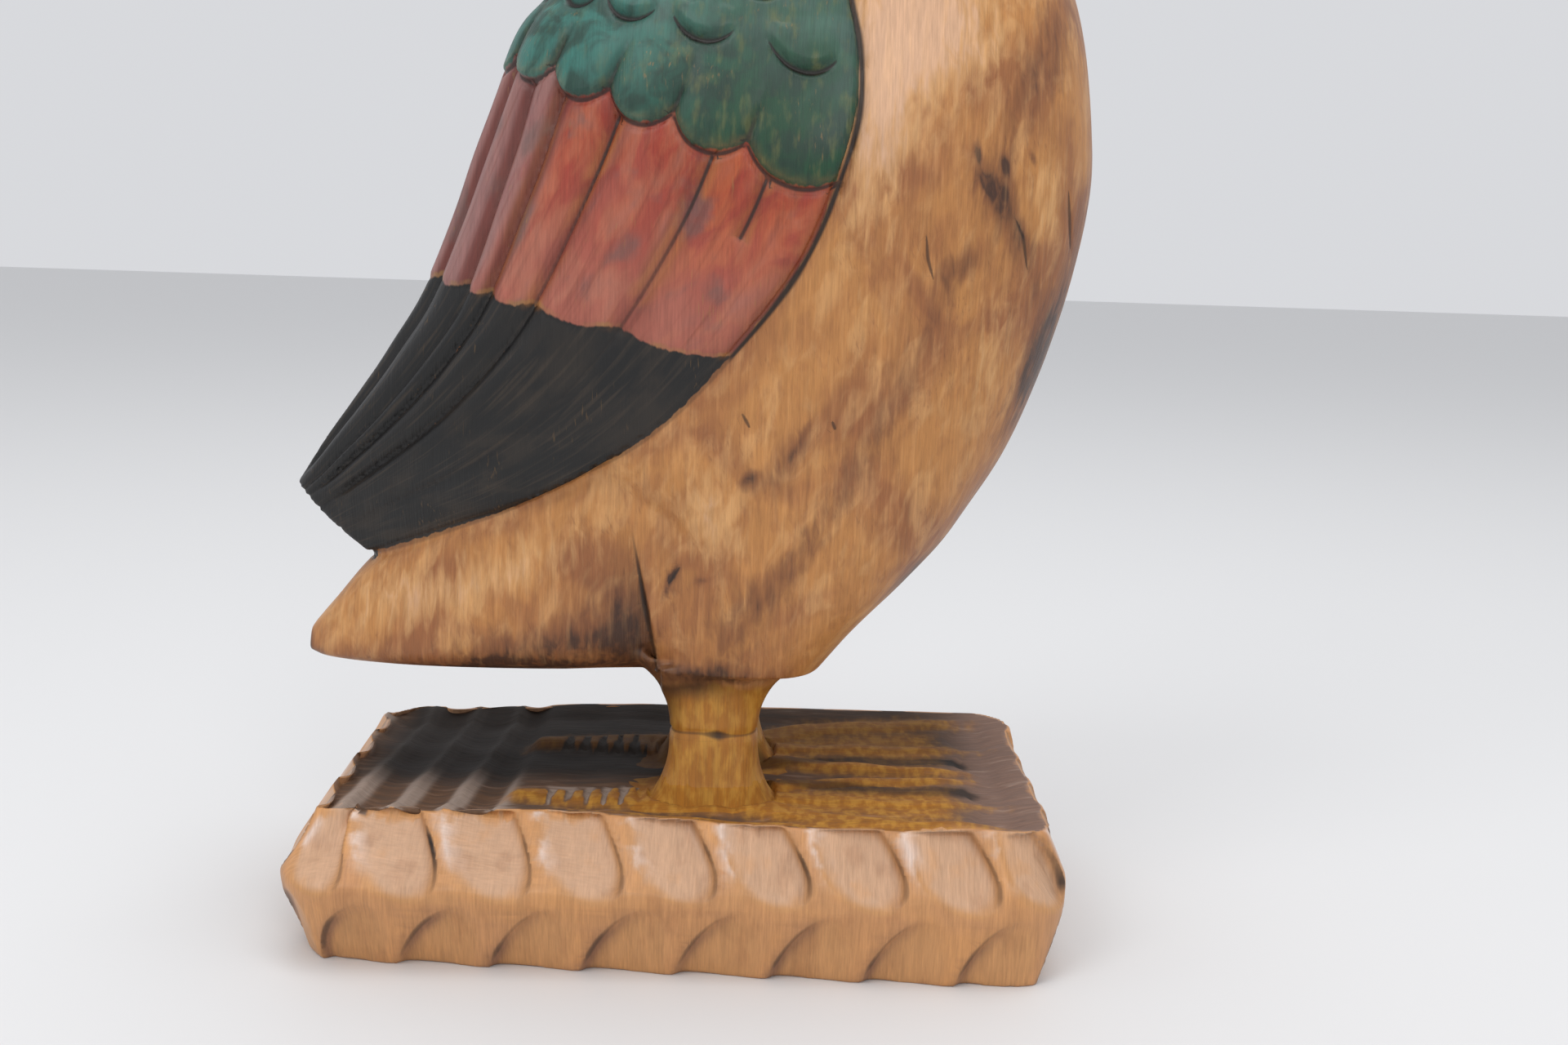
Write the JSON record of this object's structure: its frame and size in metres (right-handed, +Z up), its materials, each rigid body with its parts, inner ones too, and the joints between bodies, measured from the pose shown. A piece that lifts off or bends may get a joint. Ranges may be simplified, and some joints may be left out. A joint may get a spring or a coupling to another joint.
{
  "type": "carved wooden swan figurine",
  "caption": "Standing swan carved from one block of wood, with folded painted wings, a tail, webbed feet and a gouge-cut plinth, and a natural wood breast and neck.",
  "frame": {"origin": "centre of the plinth's underside", "axes": "+X the way the bird faces, +Y to its left, +Z up"},
  "size_m": [0.2956, 0.144, 0.513],
  "materials": {
    "carved_wood": "satin varnish over bare wood, with green, red, black and ochre stain"
  },
  "bodies": {
    "root": {"carved_swan": "carved_wood"}
  },
  "joints": []
}
